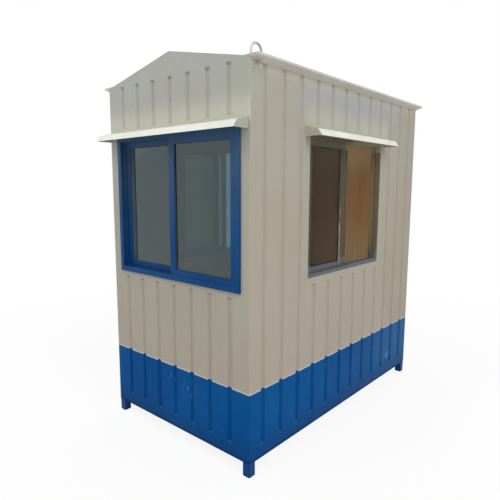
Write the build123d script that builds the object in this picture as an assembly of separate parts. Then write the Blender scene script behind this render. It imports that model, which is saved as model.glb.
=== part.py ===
"""Security guard booth: a portable steel cabin on four legs, with pressed wall sheets and sliding windows.

Millimetres. The ground is at z = 0, the plan's centre is at the origin, and the front gable faces -Y.
"""
import math
import os

from build123d import *

# Overall sizes
booth_width = 1220
booth_length = 2010
leg_height = 80
wall_height = 2106
gable_rise = 129

# Square tubes of the base and the corners
tube_size = 50
tube_wall = 3
tube_corner_radius = 5
foot_thickness = 4
joist_size = 40
joist_wall = 3
joist_count = 3

# Steel sheet of the walls and the roof
sheet_thickness = 2
corner_bend_radius = 6
corner_return = 40

# Pressed grooves of the wall sheets
groove_pitch = 154
side_groove_pitch = 161
gable_groove_margin = 100
side_groove_front_margin = 110
side_groove_back_margin = 80
groove_width = 38
groove_floor_width = 22
groove_depth = 12
groove_end_run = 14
groove_above_floor = 4
gable_groove_top_margin = 2
side_groove_top_margin = 12
groove_gap_above_opening = 57
groove_gap_below_opening = 42
groove_shortest = 120

# Boards inside
lining_thickness = 9
floor_thickness = 18
board_clearance = 0.5

# Eave trims and lifting loops
trim_lap = 50
trim_drop = 14
trim_reach = 50
trim_nose_bottom = 2
trim_nose_top = 13
loop_bar = 12
loop_width = 92
loop_height = 74
loop_from_gable = 72

# Window openings
window_sill_height = 946
window_head_margin = 319
front_window_left_margin = 100
front_window_right_margin = 74
side_opening_width = 896
side_window_shift = 36
side_split_shift = 35

# Sliding window sections
frame_clearance = 0.3
frame_wall = 22
front_flange_overlap = 11
front_frame_proud = 12
front_frame_depth = 61
front_track_depths = (-9, 33)
front_sash_thickness = 24
side_frame_depth = 61
side_track_depths = (25, 43)
side_sash_thickness = 14
track_play = 1
track_cut = 8
sash_engagement = 6
sash_stile = 38
meeting_stile = 46
sash_rail = 42
glass_thickness = 5
glass_bite = 8
glass_clearance = 0.3

# Awnings
awning_above_opening = 41
awning_top_reach = 84
awning_top_fall = 20
awning_lip_reach = 111
awning_lip_fall = 58
awning_corner_gap = 11
awning_overlap = 52
awning_above_door = 112

# Door in the back gable
door_side_margin = 220
door_head_margin = 168
door_frame_face = 36
door_stop = 12
door_stop_depth = 14
door_gap = 3
door_leaf_thickness = 38
door_lining_thickness = 4
door_groove_count = 3
door_groove_depth = 6
door_groove_margin = 130
hinge_count = 3
hinge_height = 110
hinge_plate_width = 64
hinge_plate_thickness = 3
hinge_barrel_radius = 8
hinge_from_end = 150
handle_bar_width = 22
handle_bar_thickness = 6
handle_bend = 16
handle_length = 170
handle_reach = 52
handle_from_edge = 70
handle_height = 1000
handle_foot_width = 32
handle_foot_height = 44
handle_foot_thickness = 4

# How far a cutting solid runs past what it cuts
overrun = 20

# Derived places
half_width = booth_width / 2
half_length = booth_length / 2
eave = leg_height + wall_height
ridge = eave + gable_rise
roof_slope = math.atan2(gable_rise, half_width)
roof_rise_share = gable_rise / half_width
roof_upright = sheet_thickness / math.cos(roof_slope)
lining_back = sheet_thickness + tube_size
lining_face = lining_back + lining_thickness
floor_bottom = leg_height + tube_size
floor_top = floor_bottom + floor_thickness
ceiling_bottom = eave - lining_thickness
trim_lap_height = trim_lap * roof_rise_share + roof_upright
window_bottom = leg_height + window_sill_height
window_top = eave - window_head_margin
door_top = eave - door_head_margin


def block(x_span, y_span, z_span):
    """A box between the given low and high places."""
    centre = [(low + high) / 2 for low, high in (x_span, y_span, z_span)]
    size = [high - low for low, high in (x_span, y_span, z_span)]
    return Pos(*centre) * Box(*size)


def spread(half):
    """A span that reaches equally to both sides of zero."""
    return (-half, half)


def widened(span, amount):
    """A span made longer at both ends."""
    return (span[0] - amount, span[1] + amount)


def ring(x_span, z_span, face, rail, y_span):
    """A rectangular ring standing in the wall's plane."""
    inner = block(widened(x_span, -face), widened(y_span, overrun), widened(z_span, -rail))
    return block(x_span, y_span, z_span) - inner


def on_front(shape):
    """From a wall's own frame, with y = 0 on its outer face and +y inward, to the front gable."""
    return Pos(0, -half_length, 0) * shape


def on_right(shape):
    """From a wall's own frame to the right side."""
    return Rot(0, 0, 90) * Pos(0, -half_width, 0) * shape


def on_back(shape):
    """From a wall's own frame to the back gable."""
    return Rot(0, 0, 180) * Pos(0, -half_length, 0) * shape


def to_left(shape):
    """The mirror image of a piece of the right side."""
    return mirror(shape, about=Plane.YZ)


def square_tube(size, wall, length):
    """A square tube standing on the origin, round at its four edges."""
    outline = RectangleRounded(size, size, tube_corner_radius)
    bore = RectangleRounded(size - 2 * wall, size - 2 * wall, tube_corner_radius - wall)
    return extrude(outline - bore, length)


# Corner posts, base and floor

def corner_post(x_side, y_side):
    """A tube from the ground to the eave, closed at its foot."""
    x_centre = x_side * (half_width - sheet_thickness - tube_size / 2)
    y_centre = y_side * (half_length - sheet_thickness - tube_size / 2)
    post = square_tube(tube_size, tube_wall, eave)
    foot = extrude(RectangleRounded(tube_size, tube_size, tube_corner_radius), foot_thickness)
    return Pos(x_centre, y_centre, 0) * (post + foot)


def base_rail(length):
    """A tube along X that lies on its flat side, in a wall's own frame."""
    lying = Rot(0, 90, 0) * square_tube(tube_size, tube_wall, length)
    return Pos(-length / 2, sheet_thickness + tube_size / 2, leg_height + tube_size / 2) * lying


def floor_joists():
    """Tubes across the base, flush with the tops of the base rails."""
    length = booth_width - 2 * lining_back
    spacing = (booth_length - 2 * lining_back) / (joist_count + 1)
    joists = []
    for number in range(1, joist_count + 1):
        lying = Rot(0, 90, 0) * square_tube(joist_size, joist_wall, length)
        y_centre = number * spacing - half_length + lining_back
        joists.append(Pos(-length / 2, y_centre, floor_bottom - joist_size / 2) * lying)
    return Compound(children=joists)


def floor_board():
    """A board on the base, notched round the four posts."""
    x_reach = half_width - sheet_thickness - board_clearance
    y_reach = half_length - sheet_thickness - board_clearance
    board = block(spread(x_reach), spread(y_reach), (floor_bottom, floor_top))
    x_notch = half_width - lining_back - board_clearance
    y_notch = half_length - lining_back - board_clearance
    for x_side in (-1, 1):
        for y_side in (-1, 1):
            x_span = sorted((x_side * x_notch, x_side * (half_width + overrun)))
            y_span = sorted((y_side * y_notch, y_side * (half_length + overrun)))
            board -= block(x_span, y_span, widened((floor_bottom, floor_top), overrun))
    return board


# Pressed wall sheets

def pressing(x_centre, z_span, depth, start):
    """The body of one groove: a trough with sloped sides and closed, sloped ends."""
    z_centre = (z_span[0] + z_span[1]) / 2
    height = z_span[1] - z_span[0]
    mouth_plane = Plane(origin=(x_centre, start, z_centre), x_dir=(1, 0, 0), z_dir=(0, 1, 0))
    mouth = mouth_plane * Rectangle(groove_width, height)
    bed = mouth_plane.offset(depth) * Rectangle(groove_floor_width, height - 2 * groove_end_run)
    return loft([mouth, bed], ruled=True)


def pressed(sheet, grooves, depth):
    """A sheet with grooves pressed into it, which stand out behind by the same depth."""
    backs = [pressing(x_centre, z_span, depth, sheet_thickness) for x_centre, z_span in grooves]
    fronts = [pressing(x_centre, z_span, depth, 0) for x_centre, z_span in grooves]
    return sheet + backs - fronts


def groove_runs(x_places, top_margin, opening):
    """Each groove's place and height, stopped short above and below an opening."""
    low = floor_top + groove_above_floor
    high = eave - top_margin
    runs = []
    for x_centre in x_places:
        spans = [(low, high)]
        x_span, z_span = opening
        if x_span[0] - groove_width < x_centre < x_span[1] + groove_width:
            below = (low, z_span[0] - groove_gap_below_opening)
            above = (z_span[1] + groove_gap_above_opening, high)
            spans = [below, above]
        runs += [(x_centre, span) for span in spans if span[1] - span[0] > groove_shortest]
    return runs


def front_groove_places():
    """Grooves of a gable sheet, centred, as many as fit between its margins."""
    gaps = math.floor((booth_width - 2 * gable_groove_margin) / groove_pitch)
    first = -groove_pitch * gaps / 2
    return [first + number * groove_pitch for number in range(gaps + 1)]


def side_groove_places():
    """Grooves of a side sheet, counted from the front edge, as many as fit."""
    first = -half_length + side_groove_front_margin
    gaps = math.floor((half_length - side_groove_back_margin - first) / side_groove_pitch)
    return [first + number * side_groove_pitch for number in range(gaps + 1)]


def front_opening():
    """Spans of the front window's opening."""
    x_span = (front_window_left_margin - half_width, half_width - front_window_right_margin)
    return x_span, (window_bottom, window_top)


def side_opening():
    """Spans of a side window's opening, moved towards the front."""
    half = side_opening_width / 2
    return (-half - side_window_shift, half - side_window_shift), (window_bottom, window_top)


def door_opening():
    """Spans of the doorway, which stands on the floor."""
    return spread(half_width - door_side_margin), (floor_top, door_top)


def through(opening):
    """A cut through a whole wall."""
    x_span, z_span = opening
    return block(x_span, (-overrun, lining_face + overrun), z_span)


def gable_sheet():
    """A gable's sheet in the wall's own frame, bent round both corners and pointed under the roof."""
    outline = RectangleRounded(booth_width, booth_length, corner_bend_radius)
    inner_width = booth_width - 2 * sheet_thickness
    inner_length = booth_length - 2 * sheet_thickness
    inside = RectangleRounded(inner_width, inner_length, corner_bend_radius - sheet_thickness)
    shell = Pos(0, half_length, leg_height) * extrude(outline - inside, wall_height)
    folded = shell & block(spread(booth_width), (-overrun, corner_return), (0, ridge))
    flat_half = half_width - corner_bend_radius
    shoulder = corner_bend_radius * roof_rise_share
    with_point = Plane.XZ * Polygon(
        (-flat_half, eave),
        (flat_half, eave),
        (flat_half, eave + shoulder),
        (0, ridge),
        (-flat_half, eave + shoulder),
        align=None,
    )
    return folded + extrude(with_point, -sheet_thickness)


def front_wall_sheet():
    """The front gable with its window opening."""
    grooves = groove_runs(front_groove_places(), gable_groove_top_margin, front_opening())
    return on_front(pressed(gable_sheet() - through(front_opening()), grooves, groove_depth))


def back_wall_sheet():
    """The back gable with its doorway."""
    grooves = groove_runs(front_groove_places(), gable_groove_top_margin, door_opening())
    return on_back(pressed(gable_sheet() - through(door_opening()), grooves, groove_depth))


def right_wall_sheet():
    """The right side between the two gables' returns."""
    sheet = block(spread(half_length - corner_return), (0, sheet_thickness), (leg_height, eave))
    grooves = groove_runs(side_groove_places(), side_groove_top_margin, side_opening())
    return on_right(pressed(sheet - through(side_opening()), grooves, groove_depth))


# Boards behind the sheets

def gable_lining(opening):
    """A board across a gable, between the side boards, in the wall's own frame."""
    reach = half_width - lining_face
    board = block(spread(reach), (lining_back, lining_face), (floor_top, ceiling_bottom))
    return board - through(opening)


def side_lining():
    """A board along a side, in the wall's own frame."""
    reach = half_length - lining_back
    board = block(spread(reach), (lining_back, lining_face), (floor_top, ceiling_bottom))
    return board - through(side_opening())


def ceiling_board():
    """A flat board at the eave, on the tops of the wall boards."""
    x_reach = half_width - lining_back
    y_reach = half_length - lining_back
    return block(spread(x_reach), spread(y_reach), (ceiling_bottom, eave))


# Roof

def roof_sheet_right():
    """The right slope, from the ridge to the outer face of the side."""
    outline = Plane.XZ * Polygon(
        (0, ridge),
        (half_width, eave),
        (half_width, eave + roof_upright),
        (0, ridge + roof_upright),
        align=None,
    )
    return extrude(outline, half_length, both=True)


def trim_outline():
    """The eave trim's section: it laps over the roof, drops down the wall and turns up into a nose."""
    return Plane.XZ * Polygon(
        (half_width - trim_lap, eave + trim_lap_height),
        (half_width, eave + roof_upright),
        (half_width, eave - trim_drop),
        (half_width + trim_reach, eave + trim_nose_bottom),
        (half_width + trim_reach, eave + trim_nose_top),
        align=None,
    )


def eave_trim_right():
    """The trim along the whole right eave."""
    return extrude(trim_outline(), half_length, both=True)


def lifting_loop():
    """A round bar bent over, standing on the eave trim above the front right post."""
    x_centre = half_width - lining_back / 2
    y_centre = -half_length + loop_from_gable
    lap_share = (trim_lap - lining_back / 2) / (trim_lap + trim_reach)
    seat = eave + trim_lap_height + (trim_nose_top - trim_lap_height) * lap_share
    radius = (loop_width - loop_bar) / 2
    spring = seat + loop_height - loop_bar / 2 - radius
    start = seat - sheet_thickness
    low_near = Vector(x_centre, y_centre - radius, start)
    high_near = Vector(x_centre, y_centre - radius, spring)
    crown = Vector(x_centre, y_centre, spring + radius)
    high_far = Vector(x_centre, y_centre + radius, spring)
    low_far = Vector(x_centre, y_centre + radius, start)
    bend = ThreePointArc(high_near, crown, high_far)
    path = Wire([Line(low_near, high_near), bend, Line(high_far, low_far)])
    bar = sweep(Plane(origin=low_near, z_dir=(0, 0, 1)) * Circle(loop_bar / 2), path=path)
    return bar - eave_trim_right()


def lifting_loops():
    """Two loops at opposite corners."""
    front_right = lifting_loop()
    return Compound(children=[front_right, Rot(0, 0, 180) * front_right])


# Sliding windows, in a wall's own frame

def window_frame(opening, overlap, proud, depth, tracks, thickness):
    """A frame through the wall, with two tracks cut into it all round."""
    x_span = widened(opening[0], -frame_clearance)
    z_span = widened(opening[1], -frame_clearance)
    frame = ring(x_span, z_span, frame_wall, frame_wall, (-proud, depth))
    if overlap > 0:
        face = frame_wall + overlap + frame_clearance
        frame += ring(widened(opening[0], overlap), widened(opening[1], overlap), face, face, (-proud, 0))
    clear_x = widened(x_span, track_cut - frame_wall)
    clear_z = widened(z_span, track_cut - frame_wall)
    for track in tracks:
        frame -= block(clear_x, (track, track + thickness + 2 * track_play), clear_z)
    return frame


def sash_spans(opening, split_shift):
    """The places of a left-hand and a right-hand sash, which lap by a stile, and their common height."""
    x_low, x_high = widened(opening[0], sash_engagement - frame_clearance - frame_wall)
    z_low = opening[1][0] + frame_clearance + frame_wall - track_cut
    z_high = opening[1][1] - frame_clearance - frame_wall + sash_engagement
    split = (opening[0][0] + opening[0][1]) / 2 - split_shift
    return (x_low, split + meeting_stile / 2), (split - meeting_stile / 2, x_high), (z_low, z_high)


def sash_light(x_span, z_span, stiles):
    """The clear opening between a sash's two stiles and two rails."""
    return (x_span[0] + stiles[0], x_span[1] - stiles[1]), widened(z_span, -sash_rail)


def glass_depths(track, thickness):
    """How deep in the wall the glass of a track's sash stands."""
    centre = track + track_play + thickness / 2
    return widened((centre, centre), glass_thickness / 2)


def sash(x_span, z_span, stiles, track, thickness):
    """A sash in its track, with a slot for the glass."""
    y_span = (track + track_play, track + track_play + thickness)
    light_x, light_z = sash_light(x_span, z_span, stiles)
    body = block(x_span, y_span, z_span) - block(light_x, widened(y_span, overrun), light_z)
    slot_y = widened(glass_depths(track, thickness), glass_clearance)
    return body - block(widened(light_x, glass_bite), slot_y, widened(light_z, glass_bite))


def pane(x_span, z_span, stiles, track, thickness):
    """The glass of a sash, standing on the bottom of its slot."""
    light_x, light_z = sash_light(x_span, z_span, stiles)
    x_glass = widened(light_x, glass_bite - glass_clearance)
    z_glass = (light_z[0] - glass_bite, light_z[1] + glass_bite - glass_clearance)
    return block(x_glass, glass_depths(track, thickness), z_glass)


def window(name, place, frame, outer, inner):
    """A window's nodes, put in their wall; outer and inner are the two sashes' sizes."""
    glass = Compound(children=[pane(*outer), pane(*inner)])
    return {
        name + "_window_frame": place(frame),
        name + "_window_outer_sash": place(sash(*outer)),
        name + "_window_inner_sash": place(sash(*inner)),
        name + "_window_glass": place(glass),
    }


def front_window():
    """The front window, shut: the right sash runs in the outer track, the left one in the inner track."""
    opening = front_opening()
    thickness = front_sash_thickness
    left, right, z_span = sash_spans(opening, 0)
    sizes = (front_flange_overlap, front_frame_proud, front_frame_depth)
    frame = window_frame(opening, *sizes, front_track_depths, thickness)
    outer = (right, z_span, (meeting_stile, sash_stile), front_track_depths[0], thickness)
    inner = (left, z_span, (sash_stile, meeting_stile), front_track_depths[1], thickness)
    return window("front", on_front, frame, outer, inner)


def right_window():
    """The right window, open: the far sash is slid along the inner track, behind the near one."""
    opening = side_opening()
    thickness = side_sash_thickness
    near, far, z_span = sash_spans(opening, side_split_shift)
    slid = (near[0], near[0] + far[1] - far[0])
    frame = window_frame(opening, 0, 0, side_frame_depth, side_track_depths, thickness)
    outer = (near, z_span, (sash_stile, meeting_stile), side_track_depths[0], thickness)
    inner = (slid, z_span, (meeting_stile, sash_stile), side_track_depths[1], thickness)
    return window("right", on_right, frame, outer, inner)


# Awnings, in a wall's own frame

def awning(x_span, top):
    """A folded hood: a gently falling top, a steep lip and a plate at each end."""
    thickness = sheet_thickness
    section = Plane.YZ * Polygon(
        (0, top),
        (-awning_top_reach, top - awning_top_fall),
        (-awning_lip_reach, top - awning_lip_fall),
        (0, top - awning_lip_fall),
        align=None,
    )
    hollow = Plane.YZ * Polygon(
        (overrun, top - thickness),
        (0, top - thickness),
        (thickness - awning_top_reach, top - awning_top_fall - thickness),
        (thickness - awning_lip_reach, top - awning_lip_fall - thickness),
        (overrun, top - awning_lip_fall - thickness),
        align=None,
    )
    length = x_span[1] - x_span[0]
    hood = Pos(x_span[0], 0, 0) * extrude(section, length)
    return hood - Pos(x_span[0] + thickness, 0, 0) * extrude(hollow, length - 2 * thickness)


def front_awning():
    """An awning almost as wide as the gable."""
    return awning(spread(half_width - awning_corner_gap), window_top + awning_above_opening)


def side_awning():
    """An awning a little wider than a side window."""
    return awning(widened(side_opening()[0], awning_overlap), window_top + awning_above_opening)


def door_awning():
    """An awning a little wider than the doorway."""
    return awning(widened(door_opening()[0], awning_overlap), door_top + awning_above_door)


# Door, in the back wall's own frame

def door_frame():
    """A frame with a stop all round, behind the leaf."""
    x_span, z_span = (widened(span, -frame_clearance) for span in door_opening())
    frame = ring(x_span, z_span, door_frame_face, door_frame_face, (0, lining_face))
    stop_x = widened(x_span, -door_frame_face)
    stop_z = widened(z_span, -door_frame_face)
    stop_y = (lining_face - door_stop_depth, lining_face)
    return frame + ring(stop_x, stop_z, door_stop, door_stop, stop_y)


def leaf_spans():
    """The leaf's width and height inside its frame."""
    inset = frame_clearance + door_frame_face + door_gap
    return tuple(widened(span, -inset) for span in door_opening())


def door_leaf():
    """A closed steel leaf with shallow grooves like the walls'."""
    x_span, z_span = leaf_spans()
    leaf = block(x_span, (0, door_leaf_thickness), z_span)
    z_groove = widened(z_span, -door_groove_margin)
    first = -groove_pitch * (door_groove_count - 1) / 2
    for number in range(door_groove_count):
        leaf -= pressing(first + number * groove_pitch, z_groove, door_groove_depth, 0)
    return leaf


def door_lining():
    """A thin board on the leaf's inner face."""
    x_span, z_span = leaf_spans()
    return block(x_span, (door_leaf_thickness, door_leaf_thickness + door_lining_thickness), z_span)


def door_hinges():
    """Hinges across the gap between the frame and the leaf."""
    x_span, z_span = leaf_spans()
    gap_centre = x_span[0] - door_gap / 2
    low = z_span[0] + hinge_from_end
    spacing = (z_span[1] - z_span[0] - 2 * hinge_from_end - hinge_height) / (hinge_count - 1)
    hinges = []
    for number in range(hinge_count):
        z_plate = (low + number * spacing, low + number * spacing + hinge_height)
        x_plate = widened((gap_centre, gap_centre), hinge_plate_width / 2)
        plate = block(x_plate, (-hinge_plate_thickness, 0), z_plate)
        y_barrel = -hinge_plate_thickness - hinge_barrel_radius / 2
        barrel = Pos(gap_centre, y_barrel, sum(z_plate) / 2) * Cylinder(hinge_barrel_radius, hinge_height)
        outside = block(x_plate, (y_barrel - hinge_barrel_radius, 0), z_plate)
        hinges.append(plate + (barrel & outside))
    return Compound(children=hinges)


def door_handle():
    """A pull handle: a flat bar bent twice, on two foot plates."""
    x_centre = leaf_spans()[0][1] - handle_from_edge
    z_low = leg_height + handle_height
    z_high = z_low + handle_length
    path = FilletPolyline(
        (x_centre, 0, z_low),
        (x_centre, -handle_reach, z_low),
        (x_centre, -handle_reach, z_high),
        (x_centre, 0, z_high),
        radius=handle_bend,
    )
    feet = [Plane(origin=(x_centre, 0, z), x_dir=(1, 0, 0), z_dir=(0, -1, 0)) for z in (z_low, z_high)]
    handle = sweep(feet[0] * Rectangle(handle_bar_width, handle_bar_thickness), path=path)
    for foot in feet:
        handle += extrude(foot * Rectangle(handle_foot_width, handle_foot_height), handle_foot_thickness)
    return handle


def all_nodes():
    """Every piece of the booth by its node's name."""
    across = booth_width - 2 * lining_back
    along = booth_length - 2 * lining_back
    right_rail = on_right(base_rail(along))
    nodes = {
        "corner_post_front_left": corner_post(-1, -1),
        "corner_post_front_right": corner_post(1, -1),
        "corner_post_back_left": corner_post(-1, 1),
        "corner_post_back_right": corner_post(1, 1),
        "base_rail_front": on_front(base_rail(across)),
        "base_rail_back": on_back(base_rail(across)),
        "base_rail_right": right_rail,
        "base_rail_left": to_left(right_rail),
        "floor_joists": floor_joists(),
        "floor_board": floor_board(),
        "front_wall_sheet": front_wall_sheet(),
        "back_wall_sheet": back_wall_sheet(),
        "right_wall_sheet": right_wall_sheet(),
        "front_wall_lining": on_front(gable_lining(front_opening())),
        "back_wall_lining": on_back(gable_lining(door_opening())),
        "right_wall_lining": on_right(side_lining()),
        "ceiling_board": ceiling_board(),
        "roof_sheet_right": roof_sheet_right(),
        "eave_trim_right": eave_trim_right(),
        "lifting_loops": lifting_loops(),
        "front_awning": on_front(front_awning()),
        "back_awning": on_back(door_awning()),
        "right_awning": on_right(side_awning()),
        "door_frame": on_back(door_frame()),
        "door_leaf": on_back(door_leaf()),
        "door_lining": on_back(door_lining()),
        "door_hinges": on_back(door_hinges()),
        "door_handle": on_back(door_handle()),
    }
    nodes.update(front_window())
    nodes.update(right_window())
    window_pieces = ["window_frame", "window_outer_sash", "window_inner_sash", "window_glass"]
    for piece in ["wall_sheet", "wall_lining", "awning"] + window_pieces:
        nodes["left_" + piece] = to_left(nodes["right_" + piece])
    nodes["roof_sheet_left"] = to_left(nodes["roof_sheet_right"])
    nodes["eave_trim_left"] = to_left(nodes["eave_trim_right"])
    return nodes


os.makedirs("parts", exist_ok=True)
for name, shape in all_nodes().items():
    export_step(shape, os.path.join("parts", name + ".step"))
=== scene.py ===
"""Looks of the security guard booth: paint, glass, boards, seals, light and camera."""
import math

import bmesh
import bpy
from mathutils import Matrix, Vector


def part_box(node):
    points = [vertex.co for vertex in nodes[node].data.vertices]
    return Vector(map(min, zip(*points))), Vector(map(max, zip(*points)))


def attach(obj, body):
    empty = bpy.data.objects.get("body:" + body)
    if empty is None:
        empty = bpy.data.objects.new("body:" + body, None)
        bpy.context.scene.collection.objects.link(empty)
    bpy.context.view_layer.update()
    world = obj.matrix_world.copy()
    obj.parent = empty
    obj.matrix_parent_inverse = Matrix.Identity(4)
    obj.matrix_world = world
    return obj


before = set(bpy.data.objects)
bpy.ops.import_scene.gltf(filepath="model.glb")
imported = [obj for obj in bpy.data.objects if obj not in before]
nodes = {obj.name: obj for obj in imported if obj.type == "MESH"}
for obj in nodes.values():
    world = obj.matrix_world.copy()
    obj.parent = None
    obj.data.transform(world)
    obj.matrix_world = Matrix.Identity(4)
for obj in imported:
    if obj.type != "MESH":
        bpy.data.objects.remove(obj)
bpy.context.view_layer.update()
scene = bpy.context.scene

# Places on the booth, in metres: all but the band's height come from the frame
band_height = 0.392
wall_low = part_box("front_wall_sheet")[0].z
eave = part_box("right_wall_sheet")[1].z
band_top = wall_low + band_height
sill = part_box("front_window_frame")[0].z
side_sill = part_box("right_window_frame")[0].z
side_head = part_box("right_window_frame")[1].z
awning_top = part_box("front_awning")[1].z
half_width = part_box("right_wall_sheet")[1].x
half_length = -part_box("front_wall_sheet")[0].y

# Parts of a surface's direction at which it starts to count as leaning or as square on, and fully does
leaning, leaning_full = 0.15, 0.4
square_on, square_on_full = 0.6, 0.9


def srgb(red, green, blue):
    """A colour of 0 to 255 values, by the sRGB curve, as the linear one that shaders take."""
    linear = []
    for value in (red, green, blue):
        share = value / 255
        linear.append(share / 12.92 if share <= 0.04045 else ((share + 0.055) / 1.055) ** 2.4)
    return (*linear, 1)


def darker(colour, share):
    """A colour with a share of its light."""
    return (*(share * part for part in colour[:3]), 1)


class Graph:
    """A material's nodes, with short calls for the ones used here."""

    def __init__(self, name):
        self.material = bpy.data.materials.new(name)
        self.material.use_nodes = True
        self.tree = self.material.node_tree
        self.tree.nodes.clear()
        self.shader = self.add("ShaderNodeBsdfPrincipled")
        self.out = self.add("ShaderNodeOutputMaterial")
        self.tree.links.new(self.shader.outputs[0], self.out.inputs["Surface"])
        self.place = self.add("ShaderNodeTexCoord").outputs["Object"]
        split = self.add("ShaderNodeSeparateXYZ")
        self.tree.links.new(self.place, split.inputs[0])
        self.x, self.y, self.z = split.outputs

    def add(self, kind):
        return self.tree.nodes.new(kind)

    def put(self, socket, value):
        """Links a socket, or sets the value that it has all over."""
        if isinstance(value, bpy.types.NodeSocket):
            self.tree.links.new(value, socket)
        else:
            socket.default_value = value

    def set(self, **values):
        """Shader inputs, with _ for a space."""
        for name, value in values.items():
            self.put(self.shader.inputs[name.replace("_", " ")], value)

    def math(self, operation, *values, clamp=False):
        made = self.add("ShaderNodeMath")
        made.operation = operation
        made.use_clamp = clamp
        for socket, value in zip(made.inputs, values):
            self.put(socket, value)
        return made.outputs[0]

    def scaled(self, value, by, plus):
        return self.math("MULTIPLY_ADD", value, by, plus)

    def times(self, product, *factors):
        for factor in factors:
            product = self.math("MULTIPLY", product, factor)
        return product

    def span(self, value, low, high, least=0.0, most=1.0):
        """Goes from least to most as a value goes from low to high, clamped and eased."""
        made = self.add("ShaderNodeMapRange")
        made.interpolation_type = "SMOOTHSTEP"
        for socket, given in zip(made.inputs, (value, low, high, least, most)):
            self.put(socket, given)
        return made.outputs[0]

    def mix(self, share, first, second):
        made = self.add("ShaderNodeMix")
        made.data_type = "RGBA"
        self.put(made.inputs[0], share)
        self.put(made.inputs[6], first)
        self.put(made.inputs[7], second)
        return made.outputs[2]

    def stretched(self, sideways, upward):
        """Places whose noise has one scale across the booth and another up it."""
        made = self.add("ShaderNodeMapping")
        self.put(made.inputs["Vector"], self.place)
        made.inputs["Scale"].default_value = (sideways, sideways, upward)
        return made.outputs[0]

    def noise(self, scale=1.0, detail=4.0, rough=0.6, place=None, warp=0.0):
        made = self.add("ShaderNodeTexNoise")
        self.put(made.inputs["Vector"], place or self.place)
        made.inputs["Scale"].default_value = scale
        made.inputs["Detail"].default_value = detail
        made.inputs["Roughness"].default_value = rough
        made.inputs["Distortion"].default_value = warp
        return made.outputs["Fac"]

    def cells(self, scale=1.0, place=None):
        made = self.add("ShaderNodeTexVoronoi")
        self.put(made.inputs["Vector"], place or self.place)
        made.inputs["Scale"].default_value = scale
        return made.outputs["Distance"]

    def shelter(self, distance):
        """How closed in a place is by the piece's own folds: 0 in the open, 1 in a corner."""
        made = self.add("ShaderNodeAmbientOcclusion")
        made.only_local = True
        made.samples = 6
        made.inputs["Distance"].default_value = distance
        return self.math("SUBTRACT", 1.0, made.outputs["AO"], clamp=True)

    def rounded(self, radius):
        """A normal that rounds the edges of folded sheet."""
        made = self.add("ShaderNodeBevel")
        made.samples = 4
        made.inputs["Radius"].default_value = radius
        return made.outputs[0]

    def bump(self, height, distance, strength, normal=None):
        made = self.add("ShaderNodeBump")
        made.inputs["Strength"].default_value = strength
        made.inputs["Distance"].default_value = distance
        self.put(made.inputs["Height"], height)
        if normal:
            self.put(made.inputs["Normal"], normal)
        return made.outputs[0]

    def direction(self):
        """The parts of the surface's direction along x, y and z."""
        split = self.add("ShaderNodeSeparateXYZ")
        self.put(split.inputs[0], self.add("ShaderNodeNewGeometry").outputs["Normal"])
        return list(split.outputs)

    def facing(self):
        """The parts of the surface's direction, without their signs."""
        return [self.math("ABSOLUTE", part) for part in self.direction()]

    def near(self, place, reach):
        """1 at a place, falling to 0 at its reach."""
        full_share = 0.3
        away = self.add("ShaderNodeVectorMath")
        away.operation = "DISTANCE"
        self.put(away.inputs[0], self.place)
        away.inputs[1].default_value = place
        return self.span(away.outputs["Value"], reach, full_share * reach)

    def edges(self, normal):
        """1 on the rounded edges of a piece and 0 on its flats."""
        flat_cosine, edge_cosine = 0.985, 0.88
        plain = self.add("ShaderNodeNewGeometry").outputs["Normal"]
        made = self.add("ShaderNodeVectorMath")
        made.operation = "DOT_PRODUCT"
        self.put(made.inputs[0], normal)
        self.put(made.inputs[1], plain)
        return self.span(made.outputs["Value"], flat_cosine, edge_cosine)


def paint_skin(g, normal, ripple):
    """Brushed enamel on sheet: long dents of the sheet, and a fine skin."""
    dents = g.noise(scale=2.6, detail=2.0, rough=0.5)
    skin = g.noise(scale=420.0, detail=2.0)
    swept = g.bump(dents, distance=ripple, strength=0.6, normal=normal)
    return g.bump(skin, distance=0.0004, strength=0.25, normal=swept)


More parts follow.
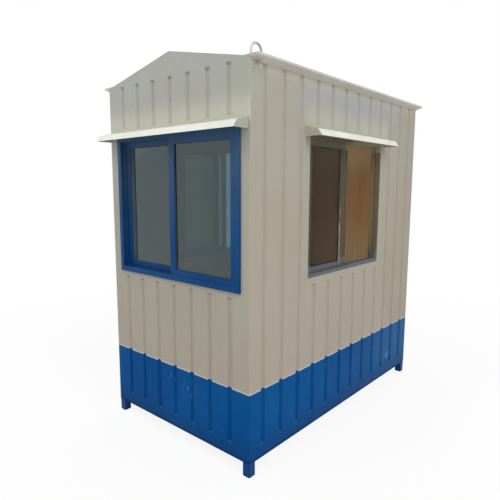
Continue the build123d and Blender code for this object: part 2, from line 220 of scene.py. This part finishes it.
def wall_cream(g, cloud, upward, flank, bed):
    """Cream enamel with dust, rain streaks and rust, painted light above the awnings, under the eaves and
    in the grooves, and painted shade on the groove ends.
    """
    corner_blend = 0.004
    middle_edge = 0.3
    side_tone_low = sill + 0.35
    back_start = 0.35
    glow_top, glow_foot, glow_full = awning_top + 0.17, awning_top - 0.03, awning_top - 0.01
    glow_end_share, glow_full_share = 0.6, 0.45
    back_share, ahead_share = 0.9, 0.8
    pale_low, pale_full = eave - 0.08, eave - 0.015
    rain_top, rain_full = sill + 0.1, sill - 0.5
    rust_low, rust_full = eave - 0.09, eave - 0.02
    loop_corner, loop_corner_full = -0.53, -0.57
    gable_gain = 1.7
    bed_painted_light_share, flank_painted_light_share = 0.3, 0.14

    across = g.math("DIVIDE", g.math("ABSOLUTE", g.x), half_width)
    along = g.math("DIVIDE", g.math("ABSOLUTE", g.y), half_length)
    on_side = g.span(g.math("SUBTRACT", across, along), -corner_blend, corner_blend)
    gable_top = g.mix(g.span(g.x, middle_edge, half_width), srgb(167, 168, 162), srgb(166, 168, 156))
    gable = g.mix(g.span(g.z, band_top, eave), srgb(168, 159, 145), gable_top)
    to_middle = g.span(g.math("ABSOLUTE", g.y), half_length, middle_edge)
    side_top = g.mix(to_middle, srgb(163, 164, 153), srgb(162, 165, 165))
    side = g.mix(g.span(g.z, side_tone_low, eave), srgb(168, 159, 146), side_top)
    cream = g.mix(on_side, gable, side)

    clouded = g.span(cloud, 0.35, 0.7, most=0.6)
    cream = g.mix(clouded, cream, srgb(163, 155, 139))
    to_back = g.span(g.y, back_start, half_length, most=0.3)
    cream = g.mix(to_back, cream, srgb(148, 141, 122))
    # Painted light: light bounced up from the awnings' white tops onto the wall above them
    awning_painted_light = g.times(
        g.span(g.z, glow_top, awning_top),
        g.span(g.z, glow_foot, glow_full),
        g.span(g.times(on_side, along), glow_end_share, glow_full_share, most=0.45),
        g.span(g.y, back_share * half_length, ahead_share * half_length),
        g.span(on_side, 1.0, 0.0, least=1.0, most=gable_gain),
    )
    cream = g.mix(awning_painted_light, cream, srgb(202, 202, 185))
    # Painted light under the eaves, where the trim's shadow falls on the wall
    eave_painted_light = g.times(g.span(g.z, pale_low, pale_full, most=0.5), on_side)
    cream = g.mix(eave_painted_light, cream, srgb(206, 202, 186))

    streak = g.noise(place=g.stretched(sideways=26.0, upward=0.5))
    runs = g.times(g.span(streak, 0.56, 0.78), g.span(g.z, rain_top, rain_full, most=0.3))
    cream = g.mix(runs, cream, srgb(140, 126, 106))
    # Painted light on the beds and flanks of the grooves, where their folds shade them
    cream = g.mix(g.times(bed, bed_painted_light_share), cream, srgb(206, 202, 190))
    cream = g.mix(g.times(flank, flank_painted_light_share), cream, srgb(210, 205, 192))
    # Painted shade on the closed heads and on the feet of the grooves
    groove_head_painted_shade = g.span(upward, -leaning, -leaning_full, most=0.34)
    cream = g.mix(groove_head_painted_shade, cream, srgb(88, 86, 80))
    groove_foot_painted_light = g.span(upward, leaning, leaning_full, most=0.4)
    cream = g.mix(groove_foot_painted_light, cream, srgb(138, 132, 118))
    by_loop = g.times(g.span(g.times(g.x, g.y), loop_corner, loop_corner_full), on_side)
    patches = g.span(g.noise(scale=24.0), 0.38, 0.58, most=0.6)
    bleed = g.times(by_loop, g.span(g.z, rust_low, rust_full), patches)
    return g.mix(bleed, cream, srgb(130, 102, 88))


def wall_blue(g, cloud, fine, upward, flank):
    """Blue enamel of the band, scuffed, rubbed on the front, with painted sheen towards the back, painted
    sky reflections on the right side, painted light in the grooves and painted shade at the foot.
    """
    back_start, back_full = -0.2, 1.0
    deep_top, deep_full = wall_low + 0.16, wall_low + 0.04
    splash_top = wall_low + 0.16
    foot_top, foot_full = wall_low + 0.024, wall_low + 0.010
    flank_painted_light_share = 0.1

    blue = g.mix(g.span(cloud, 0.3, 0.72), srgb(2, 71, 132), srgb(8, 82, 142))
    # Painted sheen, lighter towards the back
    back_painted_sheen = g.span(g.y, back_start, back_full, most=0.32)
    blue = g.mix(back_painted_sheen, blue, srgb(66, 112, 150))
    scuff = g.noise(detail=6.0, rough=0.7, place=g.stretched(sideways=16.0, upward=5.0), warp=0.6)
    blue = g.mix(g.span(scuff, 0.62, 0.74, most=0.3), blue, srgb(58, 112, 164))
    scratch = g.cells(place=g.stretched(sideways=60.0, upward=9.0))
    scratched = g.times(g.span(scratch, 0.06, 0.02), g.span(fine, 0.5, 0.62))
    blue = g.mix(scratched, blue, srgb(96, 140, 180))
    marks = g.span(g.noise(place=g.stretched(sideways=50.0, upward=26.0), warp=0.8), 0.54, 0.64)
    # Rubbed marks on the front, and painted sky reflections on the right side
    for place, reach, tone in rubbed_and_reflected:
        blue = g.mix(g.times(g.near(place, reach), marks), blue, tone)
    # Painted shade low on the band, against the light from the floor
    deep = g.span(g.z, deep_top, deep_full, most=0.5)
    blue = g.mix(deep, blue, srgb(0, 58, 118))
    splash = g.times(g.span(g.z, splash_top, wall_low, most=0.1), g.span(fine, 0.35, 0.7))
    blue = g.mix(splash, blue, srgb(60, 84, 108))
    # Painted light on the groove flanks, and a painted highlight on the grooves' lower ends
    blue = g.mix(g.times(flank, flank_painted_light_share), blue, srgb(30, 104, 168))
    groove_foot_painted_light = g.span(upward, leaning, leaning_full, most=0.2)
    blue = g.mix(groove_foot_painted_light, blue, srgb(64, 124, 174))
    # Painted shade along the foot edge of the band
    foot_edge_painted_shade = g.span(g.z, foot_top, foot_full, most=0.6)
    return g.mix(foot_edge_painted_shade, blue, srgb(4, 34, 70))


def wall_paint():
    """Cream above a blue band, with a brushed paint line between them."""
    corner_share, corner_blend = 0.95, 0.01
    flat, sloping = 0.96, 0.86
    line_wobble, line_dip, line_blend = 0.006, 0.03, 0.0012
    pale_top, pale_full = band_top + 0.011, band_top + 0.006

    g = Graph("wall_paint")
    normal = g.rounded(radius=0.003)
    crease = g.shelter(distance=0.03)
    upward = g.direction()[2]
    sideways, lengthways, _ = g.facing()
    slope = g.span(g.math("MAXIMUM", sideways, lengthways), flat, sloping)
    at_corner = g.math("ABSOLUTE", g.times(g.x, g.y))
    corner = corner_share * half_width * half_length
    flank = g.times(slope, g.span(at_corner, corner, corner - corner_blend))
    bed = g.times(crease, g.math("SUBTRACT", 1.0, flank))
    cloud = g.noise(scale=1.7, detail=5.0)
    fine = g.noise(scale=36.0)
    cream = wall_cream(g, cloud, upward, flank, bed)
    blue = wall_blue(g, cloud, fine, upward, flank)

    brush = g.noise(scale=30.0, detail=3.0, rough=0.55)
    wobble = g.scaled(brush, by=line_wobble, plus=-line_wobble / 2)
    line = g.math("ADD", g.z, g.scaled(crease, by=-line_dip, plus=wobble))
    above = g.span(line, band_top - line_blend, band_top + line_blend)
    pale = g.times(above, g.span(line, pale_top, pale_full, most=0.6))
    cream = g.mix(pale, cream, srgb(198, 200, 200))
    g.set(
        Base_Color=g.mix(above, blue, cream),
        Roughness=g.math("ADD", g.scaled(fine, by=0.22, plus=0.26), g.times(above, 0.16)),
        Specular_IOR_Level=g.scaled(above, by=0.09, plus=0.025),
        Normal=paint_skin(g, normal, ripple=0.012),
    )
    return g.material


def plain_paint(name, colour, shade, worn, corner_dirt_and_shade, rough, dust=0.0, rusty=(), veil=0.0):
    """Enamel of one colour, thin on its edges, with dirt and painted shade in its corners.

    It can have dust on its upper faces, rust near some places, and a greenish veil that grows upward.
    """
    rust_reach = 0.08
    veil_low = sill + 0.1
    level, level_full = 0.5, 0.95
    corner_shade_share, chip_share = 0.6, 0.7

    g = Graph(name)
    normal = g.rounded(radius=0.0025)
    cloud = g.noise(scale=2.4, detail=5.0)
    fine = g.noise(scale=48.0)
    tone = g.mix(g.span(cloud, 0.32, 0.72), colour, shade)
    if dust:
        lying = g.span(g.direction()[2], level, level_full, most=dust)
        settled = g.times(lying, g.span(cloud, 0.25, 0.75, least=0.5))
        tone = g.mix(settled, tone, srgb(150, 138, 118))
    if veil:
        tone = g.mix(g.span(g.z, veil_low, awning_top, most=veil), tone, srgb(156, 170, 138))
    for place in rusty:
        patches = g.span(g.noise(scale=34.0), 0.36, 0.58, least=0.1, most=0.75)
        tone = g.mix(g.times(g.near(place, rust_reach), patches), tone, srgb(118, 92, 82))
    # Dirt and painted shade in the corners, by how closed in they are
    tone = g.mix(g.times(g.shelter(distance=0.025), corner_shade_share), tone, corner_dirt_and_shade)
    chips = g.times(g.edges(normal), g.span(fine, 0.5, 0.66), chip_share)
    g.set(
        Base_Color=g.mix(chips, tone, worn),
        Roughness=g.scaled(fine, by=0.24, plus=rough),
        Specular_IOR_Level=0.08,
        Normal=paint_skin(g, normal, ripple=0.004),
    )
    return g.material


def awning_paint():
    """White enamel on top and lip, cream elsewhere, with painted shade in its corners and on ends that face
    left or right.
    """
    white_from, white_full = 0.12, 0.3
    level, level_full = 0.8, 0.98
    corner_shade_share = 0.5

    g = Graph("awning_paint")
    normal = g.rounded(radius=0.002)
    upward = g.direction()[2]
    cloud = g.noise(scale=3.0, detail=5.0)
    fine = g.noise(scale=44.0)
    clouded = g.span(cloud, 0.3, 0.75)
    white = g.mix(clouded, srgb(232, 231, 221), srgb(218, 215, 203))
    cream = g.mix(clouded, srgb(186, 183, 170), srgb(178, 173, 159))
    # Painted shade on the end plates that face left or right
    end_plate_painted_shade = g.span(g.facing()[0], square_on, square_on_full)
    cream = g.mix(end_plate_painted_shade, cream, srgb(162, 161, 147))
    tone = g.mix(g.span(upward, white_from, white_full), cream, white)
    dusty = g.times(g.span(upward, level, level_full, most=0.6), g.span(cloud, 0.3, 0.7, least=0.5))
    tone = g.mix(dusty, tone, srgb(168, 158, 140))
    # Painted shade in the corners
    tone = g.mix(g.times(g.shelter(distance=0.03), corner_shade_share), tone, srgb(86, 80, 70))
    g.set(
        Base_Color=tone,
        Roughness=g.scaled(fine, by=0.2, plus=0.38),
        Specular_IOR_Level=0.2,
        Normal=paint_skin(g, normal, ripple=0.003),
    )
    return g.material


def bronze_section(pull_edge):
    """Dark anodised section, drawn along its length, with painted shade in its corners, dust and a painted
    sky reflection on its sills, and painted light on its jambs and head.

    It is rubbed bright on its edges, and has a painted glint beside the outer sash's pull edge.
    """
    shade = srgb(68, 61, 46)
    worn = srgb(164, 152, 126)
    dust = srgb(96, 107, 115)
    corner_shade_share = 0.5
    reveal_outer, reveal_inner = half_width - 0.030, half_width - 0.038
    rail_top, rail_full = side_sill + 0.085, side_sill + 0.06
    head_low, head_full = side_head - 0.07, side_head - 0.05
    head_middle = 0.06
    glint_near, glint_far, glint_blend = pull_edge - 0.048, pull_edge - 0.030, 0.002
    glint_low, glint_high = 1.06, 1.50
    glint_fade_low, glint_fade_high = 0.05, 0.2

    g = Graph("bronze_section")
    normal = g.rounded(radius=0.0016)
    drawn = g.noise(detail=3.0, place=g.stretched(sideways=140.0, upward=3.0))
    fine = g.noise(scale=60.0)
    tone = g.mix(g.span(drawn, 0.3, 0.7), srgb(80, 72, 54), shade)
    # Painted shade in the corners
    tone = g.mix(g.times(g.shelter(distance=0.02), corner_shade_share), tone, darker(shade, share=0.3))
    _, lengthways, upright = g.facing()
    # Painted light on the jambs: faces across the window are lighter, most of all deep in the channel
    deep = g.span(g.math("ABSOLUTE", g.x), reveal_outer, reveal_inner)
    reveal = g.mix(deep, srgb(100, 95, 76), srgb(168, 150, 114))
    tone = g.mix(g.span(lengthways, square_on, square_on_full, most=0.9), tone, reveal)
    # Dust and a painted grey-blue sky reflection on the sills and the low rail
    level = g.span(upright, square_on, square_on_full)
    sills = g.times(level, g.span(fine, 0.3, 0.6, least=0.55, most=0.85))
    tone = g.mix(sills, tone, dust)
    low_rail = g.times(g.span(g.z, rail_top, rail_full), g.span(fine, 0.3, 0.6, least=0.5, most=0.8))
    tone = g.mix(low_rail, tone, dust)
    # Painted light on the head, in the awning's shade
    head = g.mix(g.span(g.y, -head_middle, head_middle), srgb(112, 104, 88), srgb(164, 154, 128))
    tone = g.mix(g.span(g.z, head_low, head_full, most=0.7), tone, head)

    edge_wear = g.noise(scale=7.0, detail=3.0, rough=0.55)
    edge = g.times(g.edges(normal), g.span(edge_wear, 0.42, 0.62, most=0.8))
    # A painted glint in the worn tone beside the outer sash's pull edge
    glint_streaks = g.noise(detail=3.0, place=g.stretched(sideways=90.0, upward=14.0))
    painted_glint = g.times(
        g.span(g.y, glint_near - glint_blend, glint_near),
        g.span(g.y, glint_far + glint_blend, glint_far),
        g.span(g.z, glint_low, glint_low + glint_fade_low),
        g.span(g.z, glint_high, glint_high - glint_fade_high),
        g.span(glint_streaks, 0.4, 0.56),
    )
    g.set(
        Base_Color=g.mix(g.math("MAXIMUM", edge, painted_glint), tone, worn),
        Metallic=0.12,
        Specular_IOR_Level=0.12,
        Roughness=g.scaled(fine, by=0.22, plus=0.34),
        Normal=g.bump(drawn, distance=0.0004, strength=0.3, normal=normal),
    )
    return g.material


def glass(name, tint, ior, sheen, dusty_edge=None):
    """Tinted float glass with wiped marks, and dust left along one upright edge where that is given."""
    dust_reach, dust_full, dust_patch = 0.072, 0.044, 0.016

    g = Graph(name)
    wiped = g.noise(detail=5.0, rough=0.65, place=g.stretched(sideways=5.0, upward=2.0), warp=1.2)
    tone = g.mix(g.span(wiped, 0.4, 0.75), tint, darker(tint, share=0.86))
    g.set(Transmission_Weight=1.0, IOR=ior, Specular_Tint=sheen, Roughness=0.0)
    if dusty_edge is not None:
        patchy = g.scaled(g.noise(scale=14.0), by=dust_patch, plus=g.x)
        dust = g.span(patchy, dusty_edge + dust_reach, dusty_edge + dust_full, most=0.42)
        tone = g.mix(dust, tone, srgb(140, 158, 172))
        g.set(Transmission_Weight=g.math("SUBTRACT", 1.0, dust))
    g.set(Base_Color=tone)
    return g.material


def lining_board():
    """Brown laminate with an upright grain and a soft shine, and painted light high and low on the walls.
    """
    high_start, high_full = 1.62, 1.94
    low_start, low_full = 1.4, 0.9

    g = Graph("brown_lining")
    wave = g.noise(detail=6.0, rough=0.62, place=g.stretched(sideways=9.0, upward=0.7), warp=1.5)
    grain = g.noise(detail=6.0, rough=0.7, place=g.stretched(sideways=120.0, upward=2.2), warp=0.3)
    tone = g.mix(g.span(wave, 0.3, 0.7), srgb(164, 131, 95), srgb(148, 117, 84))
    # Painted light, paler high and low on the walls
    high = g.span(g.z, high_start, high_full)
    low = g.span(g.z, low_start, low_full, most=0.5)
    tone = g.mix(g.math("MAXIMUM", high, low), tone, srgb(204, 186, 148))
    tone = g.mix(g.span(grain, 0.45, 0.72, most=0.4), tone, srgb(118, 88, 56))
    g.set(
        Base_Color=tone,
        Roughness=g.scaled(grain, by=0.2, plus=0.34),
        Specular_IOR_Level=0.3,
        Normal=g.bump(grain, distance=0.0006, strength=0.35),
    )
    return g.material


def floor_sheet():
    """Speckled vinyl on the floor board, clouded by wear."""
    g = Graph("floor_vinyl")
    speck = g.cells(scale=260.0)
    cloud = g.noise(scale=5.0, detail=5.0)
    tone = g.mix(g.span(cloud, 0.3, 0.7), srgb(112, 98, 84), srgb(96, 84, 72))
    tone = g.mix(g.span(speck, 0.2, 0.1, most=0.8), tone, srgb(58, 50, 44))
    g.set(
        Base_Color=tone,
        Roughness=g.scaled(cloud, by=0.3, plus=0.35),
        Normal=g.bump(speck, distance=0.0005, strength=0.3),
    )
    return g.material


def bare_steel(name, colour, shade, shine):
    """Dull steel with rust freckles."""
    g = Graph(name)
    normal = g.rounded(radius=0.001)
    fine = g.noise(scale=140.0, detail=5.0, rough=0.65)
    cloud = g.noise(scale=22.0, detail=5.0)
    tone = g.mix(g.span(cloud, 0.35, 0.7), colour, shade)
    rust = g.span(fine, 0.6, 0.74, most=0.8)
    tone = g.mix(rust, tone, srgb(112, 66, 36))
    g.set(
        Base_Color=tone,
        Metallic=g.math("SUBTRACT", shine, rust, clamp=True),
        Roughness=g.scaled(cloud, by=0.3, plus=0.3),
        Normal=g.bump(fine, distance=0.0005, strength=0.4, normal=normal),
    )
    return g.material


def rubber():
    """Dark window seal, chalked a little by the sun."""
    g = Graph("window_seal")
    fine = g.noise(scale=90.0)
    g.set(
        Base_Color=g.mix(g.span(fine, 0.4, 0.7), srgb(44, 47, 50), srgb(64, 66, 66)),
        Roughness=g.scaled(fine, by=0.2, plus=0.55),
        Normal=g.bump(fine, distance=0.0004, strength=0.4),
    )
    return g.material


# Places lighter on the blue, with their reach and tone: two rubbed light on the front, and two painted sky
# reflections on the right side
rubbed_and_reflected = [
    ((-0.05, -half_length, 0.385), 0.055, srgb(92, 140, 186)),
    ((0.13, -half_length, 0.365), 0.10, srgb(56, 108, 160)),
    ((half_width, 0.46, 0.365), 0.06, srgb(112, 150, 184)),
    ((half_width, 0.64, 0.270), 0.10, srgb(96, 134, 170)),
]
# The outer edge of the eaves under each lifting loop
loop_low, loop_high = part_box("lifting_loops")
loop_feet = [(loop_high.x, loop_low.y, loop_low.z), (loop_low.x, loop_high.y, loop_low.z)]

# Finishes
# Dirt and painted shade for the corners of cream pieces
cream_dirt_and_shade = srgb(98, 94, 84)
walls = wall_paint()
base_blue = plain_paint(
    "base_blue", colour=srgb(4, 68, 128), shade=srgb(2, 58, 112), worn=srgb(70, 84, 100),
    corner_dirt_and_shade=srgb(2, 34, 70), rough=0.3)
roof_cream = plain_paint(
    "roof_cream", colour=srgb(174, 172, 163), shade=srgb(162, 158, 146), worn=srgb(120, 112, 100),
    corner_dirt_and_shade=cream_dirt_and_shade, rough=0.42, dust=0.45)
# The trim's cream is paler than the roof's: painted light for its shaded under face
trim_cream = plain_paint(
    "trim_cream", colour=srgb(202, 198, 190), shade=srgb(190, 185, 176), worn=srgb(132, 124, 112),
    corner_dirt_and_shade=cream_dirt_and_shade, rough=0.42, dust=0.3, rusty=loop_feet)
window_blue = plain_paint(
    "window_blue", colour=srgb(14, 70, 123), shade=srgb(11, 60, 109), worn=srgb(84, 122, 164),
    corner_dirt_and_shade=srgb(58, 72, 92), rough=0.26, veil=0.11)
awning_white = awning_paint()
bronze = bronze_section(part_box("right_window_outer_sash")[1].y)
grey_glass = glass(
    "grey_glass", tint=srgb(64, 91, 109), ior=1.7, sheen=(0.82, 1.0, 1.0, 1),
    dusty_edge=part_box("front_window_glass")[0].x)
bronze_glass = glass("bronze_glass", tint=srgb(180, 173, 156), ior=1.15, sheen=(1.0, 0.85, 0.65, 1))
lining = lining_board()
vinyl = floor_sheet()
steel = bare_steel("bare_steel", colour=srgb(158, 160, 158), shade=srgb(124, 124, 120), shine=0.75)
loop_steel = bare_steel("loop_steel", colour=srgb(196, 202, 201), shade=srgb(170, 175, 174), shine=0.35)
seal = rubber()

# The finish of each node, by the first of these that its name holds
finish_of = {
    "wall_sheet": walls,
    "wall_lining": lining,
    "corner_post": base_blue,
    "base_rail": base_blue,
    "floor_joists": base_blue,
    "floor_board": vinyl,
    "ceiling_board": lining,
    "roof_sheet": roof_cream,
    "eave_trim": trim_cream,
    "lifting_loops": loop_steel,
    "awning": awning_white,
    "front_window_frame": window_blue,
    "front_window_outer_sash": window_blue,
    "front_window_inner_sash": window_blue,
    "front_window_glass": grey_glass,
    "window_glass": bronze_glass,
    "window_frame": bronze,
    "sash": bronze,
    "door_frame": walls,
    "door_leaf": walls,
    "door_lining": lining,
    "door_hinges": steel,
    "door_handle": steel,
}
for name, node in nodes.items():
    found = next(finish for part, finish in finish_of.items() if part in name)
    node.data.materials.clear()
    node.data.materials.append(found)


def piece(name, shape, finish):
    """A piece made in mesh code, which stays with the booth."""
    mesh = bpy.data.meshes.new(name)
    bmesh.ops.recalc_face_normals(shape, faces=shape.faces)
    shape.to_mesh(mesh)
    shape.free()
    mesh.shade_smooth()
    mesh.materials.append(finish)
    made = bpy.data.objects.new(name, mesh)
    scene.collection.objects.link(made)
    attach(made, "root")


def islands(node):
    """The lowest and highest corner of each separate solid of a node."""
    weld_distance = 1e-6
    sort_digits = 4
    shape = bmesh.new()
    shape.from_mesh(nodes[node].data)
    bmesh.ops.remove_doubles(shape, verts=shape.verts, dist=weld_distance)
    left = set(shape.verts)
    found = []
    while left:
        todo = [left.pop()]
        corners = []
        while todo:
            vert = todo.pop()
            corners.append(vert.co.copy())
            for edge in vert.link_edges:
                other = edge.other_vert(vert)
                if other in left:
                    left.remove(other)
                    todo.append(other)
        low = Vector([min(c[i] for c in corners) for i in range(3)])
        high = Vector([max(c[i] for c in corners) for i in range(3)])
        found.append((low, high))
    shape.free()
    return sorted(found, key=lambda pair: tuple(round(v, sort_digits) for v in pair[0]))


def closed_strip(shape, rows):
    """Faces of a strip that closes on itself, along its rows of points and across them."""
    for row, after in zip(rows, rows[1:] + rows[:1]):
        count = len(row)
        for j in range(count):
            k = (j + 1) % count
            shape.faces.new((row[j], after[j], after[k], row[k]))


def ring(shape, middle, across, up, out, half_across, half_up, profile):
    """A closed strip round a rectangle; its profile is given as steps inward and outward."""
    rows = []
    for side, rise in ((-1, -1), (1, -1), (1, 1), (-1, 1)):
        row = []
        for inward, proud in profile:
            sideways = across * side * (half_across - inward)
            upward = up * rise * (half_up - inward)
            row.append(shape.verts.new(middle + sideways + upward + out * proud))
        rows.append(row)
    closed_strip(shape, rows)


# Glazing seals on both faces of each pane, at the edge of its sash
glass_bite = 0.008
seal_profile = (
    (0.0, -0.0002), (0.0, 0.0030), (0.0008, 0.0034), (0.0018, 0.0030), (0.0028, 0.0016), (0.0032, -0.0002))
for panes in ("front_window_glass", "right_window_glass", "left_window_glass"):
    thin = 1 if panes.startswith("front") else 0
    out = Vector((thin == 0, thin == 1, 0))
    across = Vector((thin == 1, thin == 0, 0))
    up = Vector((0, 0, 1))
    shape = bmesh.new()
    for low, high in islands(panes):
        middle = (low + high) / 2
        size = high - low
        half_across = size[1 - thin] / 2 - glass_bite
        half_up = size.z / 2 - glass_bite
        for face in (-1, 1):
            on_pane = middle + out * face * size[thin] / 2
            ring(shape, on_pane, across, up, out * face, half_across, half_up, seal_profile)
    piece(panes.replace("glass", "seals"), shape, seal)

# Weld beads where the lifting loops meet the eaves
bar = 0.012
bead_radius, bead_swell = 0.0030, 0.0006
bead_swells, bead_shift = 9, 40
bead_out, bead_rise = 0.0012, 0.0032
bead_steps, bead_turns = 40, 8
shape = bmesh.new()
for low, high in islands("lifting_loops"):
    x = (low.x + high.x) / 2
    for y in (low.y + bar / 2, high.y - bar / 2):
        rows = []
        for i in range(bead_steps):
            angle = math.tau * i / bead_steps
            lump = bead_radius + bead_swell * math.sin(bead_swells * angle + bead_shift * y)
            row = []
            for j in range(bead_turns):
                turn = math.tau * j / bead_turns
                reach = bar / 2 + bead_out + lump * math.cos(turn)
                height = low.z + bead_rise + lump * math.sin(turn)
                at = (x + reach * math.cos(angle), y + reach * math.sin(angle), height)
                row.append(shape.verts.new(at))
            rows.append(row)
        closed_strip(shape, rows)
piece("loop_weld_beads", shape, steel)


def screw_heads(shape, places, radius):
    """Round screw heads on the back of the door, domed and with a cross recess pressed into them."""
    across, up, out = Vector((1, 0, 0)), Vector((0, 0, 1)), Vector((0, 1, 0))
    head_shares = ((1.0, 0.0), (1.0, 0.25), (0.86, 0.52), (0.55, 0.66), (0.5, 0.66), (0.18, 0.3))
    recess_share, pinch_share = 0.52, 0.55
    steps = 24
    for place in places:
        rows = []
        for share, proud in head_shares:
            row = []
            for i in range(steps):
                angle = math.tau * i / steps
                cross = 1 - pinch_share * abs(math.sin(2 * angle)) if share < recess_share else 1.0
                around = across * math.cos(angle) + up * math.sin(angle)
                row.append(shape.verts.new(place + around * radius * share * cross + out * radius * proud))
            rows.append(row)
        for low, high in zip(rows, rows[1:]):
            for i in range(steps):
                shape.faces.new((low[i], low[(i + 1) % steps], high[(i + 1) % steps], high[i]))
        shape.faces.new(rows[-1])
        shape.faces.new(list(reversed(rows[0])))


# Screws of the hinges and of the handle's feet
hinge_plate, hinge_side, hinge_pitch, hinge_screw = 0.003, 0.021, 0.036, 0.0042
handle_plate, handle_foot, handle_pitch, handle_screw = 0.004, 0.022, 0.013, 0.0040
shape = bmesh.new()
for low, high in islands("door_hinges"):
    middle = (low + high) / 2
    places = [Vector((middle.x + side, low.y + hinge_plate, middle.z + rise))
              for side in (-hinge_side, hinge_side) for rise in (-hinge_pitch, 0.0, hinge_pitch)]
    screw_heads(shape, places, hinge_screw)
piece("hinge_screws", shape, steel)
shape = bmesh.new()
low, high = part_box("door_handle")
places = [Vector(((low.x + high.x) / 2, low.y + handle_plate, foot + rise))
          for foot in (low.z + handle_foot, high.z - handle_foot) for rise in (-handle_pitch, handle_pitch)]
screw_heads(shape, places, handle_screw)
piece("handle_screws", shape, steel)


def looked_at(tree):
    """1 where something is seen, also in metal and through glass, and 0 where it only gives light."""
    path = tree.nodes.new("ShaderNodeLightPath")
    seen = path.outputs["Is Camera Ray"]
    for kind in ("Is Glossy Ray", "Is Transmission Ray"):
        either = tree.nodes.new("ShaderNodeMath")
        either.operation = "MAXIMUM"
        tree.links.new(seen, either.inputs[0])
        tree.links.new(path.outputs[kind], either.inputs[1])
        seen = either.outputs[0]
    return seen


# World: a soft sky that lights the booth, seen as white
sky_colour, sky_strength = (0.97, 0.985, 1.0, 1), 0.70
world = bpy.data.worlds.new("studio")
scene.world = world
world.use_nodes = True
tree = world.node_tree
tree.nodes.clear()
soft = tree.nodes.new("ShaderNodeBackground")
soft.inputs["Color"].default_value = sky_colour
soft.inputs["Strength"].default_value = sky_strength
white = tree.nodes.new("ShaderNodeBackground")
white.inputs["Color"].default_value = (1, 1, 1, 1)
white.inputs["Strength"].default_value = 1.0
both = tree.nodes.new("ShaderNodeMixShader")
tree.links.new(looked_at(tree), both.inputs[0])
tree.links.new(soft.outputs[0], both.inputs[1])
tree.links.new(white.outputs[0], both.inputs[2])
world_out = tree.nodes.new("ShaderNodeOutputWorld")
tree.links.new(both.outputs[0], world_out.inputs["Surface"])


def area_light(name, place, aim, size, power, colour):
    """A large soft lamp."""
    lamp = bpy.data.lights.new(name, "AREA")
    lamp.shape = "DISK"
    lamp.size = size
    lamp.energy = power
    lamp.color = colour
    holder = bpy.data.objects.new(name, lamp)
    scene.collection.objects.link(holder)
    holder.location = place
    holder.rotation_euler = (Vector(aim) - Vector(place)).to_track_quat("-Z", "Y").to_euler()
    return holder


# Lamps, the last of them inside the booth and not seen itself
area_light(
    "key", place=(6.4, -2.4, 6.4), aim=(0, 0, 1.0), size=5.0, power=242,
    colour=(1.0, 0.98, 0.93))
area_light(
    "front", place=(-0.8, -3.8, 4.8), aim=(0, -1.0, 1.8), size=2.0, power=42,
    colour=(0.96, 0.985, 1.0))
area_light(
    "fill", place=(-5.5, -3.0, 4.0), aim=(0, 0, 1.0), size=5.0, power=10,
    colour=(0.95, 0.98, 1.0))
area_light(
    "back", place=(-3.0, 6.0, 6.0), aim=(0, 0, 1.2), size=5.0, power=70,
    colour=(1.0, 0.99, 0.97))
inside = area_light(
    "inside", place=(0, -0.1, 1.85), aim=(0, 0.3, 0.0), size=0.7, power=9.5,
    colour=(1.0, 0.93, 0.82))
inside.visible_camera = False
inside.visible_glossy = False
inside.visible_transmission = False

# Floor: seen as white paper that keeps some shadow close to the booth
floor_half = 60
shadow_full, white_start = 1.6, 5.0
paper_share = 0.88
floor_mesh = bpy.data.meshes.new("studio_floor")
shape = bmesh.new()
bmesh.ops.create_grid(shape, x_segments=1, y_segments=1, size=floor_half)
shape.to_mesh(floor_mesh)
shape.free()
floor = bpy.data.objects.new("studio_floor", floor_mesh)
scene.collection.objects.link(floor)
floor_graph = Graph("studio_floor")
floor_graph.set(Base_Color=(0.93, 0.93, 0.93, 1), Roughness=0.9, Specular_IOR_Level=0.0)
spread = floor_graph.add("ShaderNodeVectorMath")
spread.operation = "LENGTH"
floor_graph.put(spread.inputs[0], floor_graph.place)
even = floor_graph.span(spread.outputs["Value"], shadow_full, white_start, least=paper_share)
paper = floor_graph.add("ShaderNodeEmission")
laid = floor_graph.add("ShaderNodeMixShader")
floor_graph.put(laid.inputs[0], floor_graph.times(looked_at(floor_graph.tree), even))
floor_graph.put(laid.inputs[1], floor_graph.shader.outputs[0])
floor_graph.put(laid.inputs[2], paper.outputs[0])
floor_graph.put(floor_graph.out.inputs["Surface"], laid.outputs[0])
floor_mesh.materials.append(floor_graph.material)

# Camera, as fitted to the photo
eye = Vector((2.1344, -2.7448, 1.5719))
heading = math.radians(41.227)
dip = math.radians(-7.881)
bank = math.radians(0.171)
film_width = 36
focal_pixels, image_pixels = 462.98, 500
far_end = 200
lens = bpy.data.cameras.new("photo_view")
lens.sensor_width = film_width
lens.lens = film_width * focal_pixels / image_pixels
lens.clip_end = far_end
camera = bpy.data.objects.new("photo_view", lens)
scene.collection.objects.link(camera)
ahead = Vector((-math.sin(heading) * math.cos(dip), math.cos(heading) * math.cos(dip), math.sin(dip)))
turn = ahead.to_track_quat("-Z", "Y") @ Matrix.Rotation(bank, 3, "Z").to_quaternion()
camera.location = eye
camera.rotation_mode = "QUATERNION"
camera.rotation_quaternion = turn
scene.camera = camera
scene.view_settings.view_transform = "Standard"
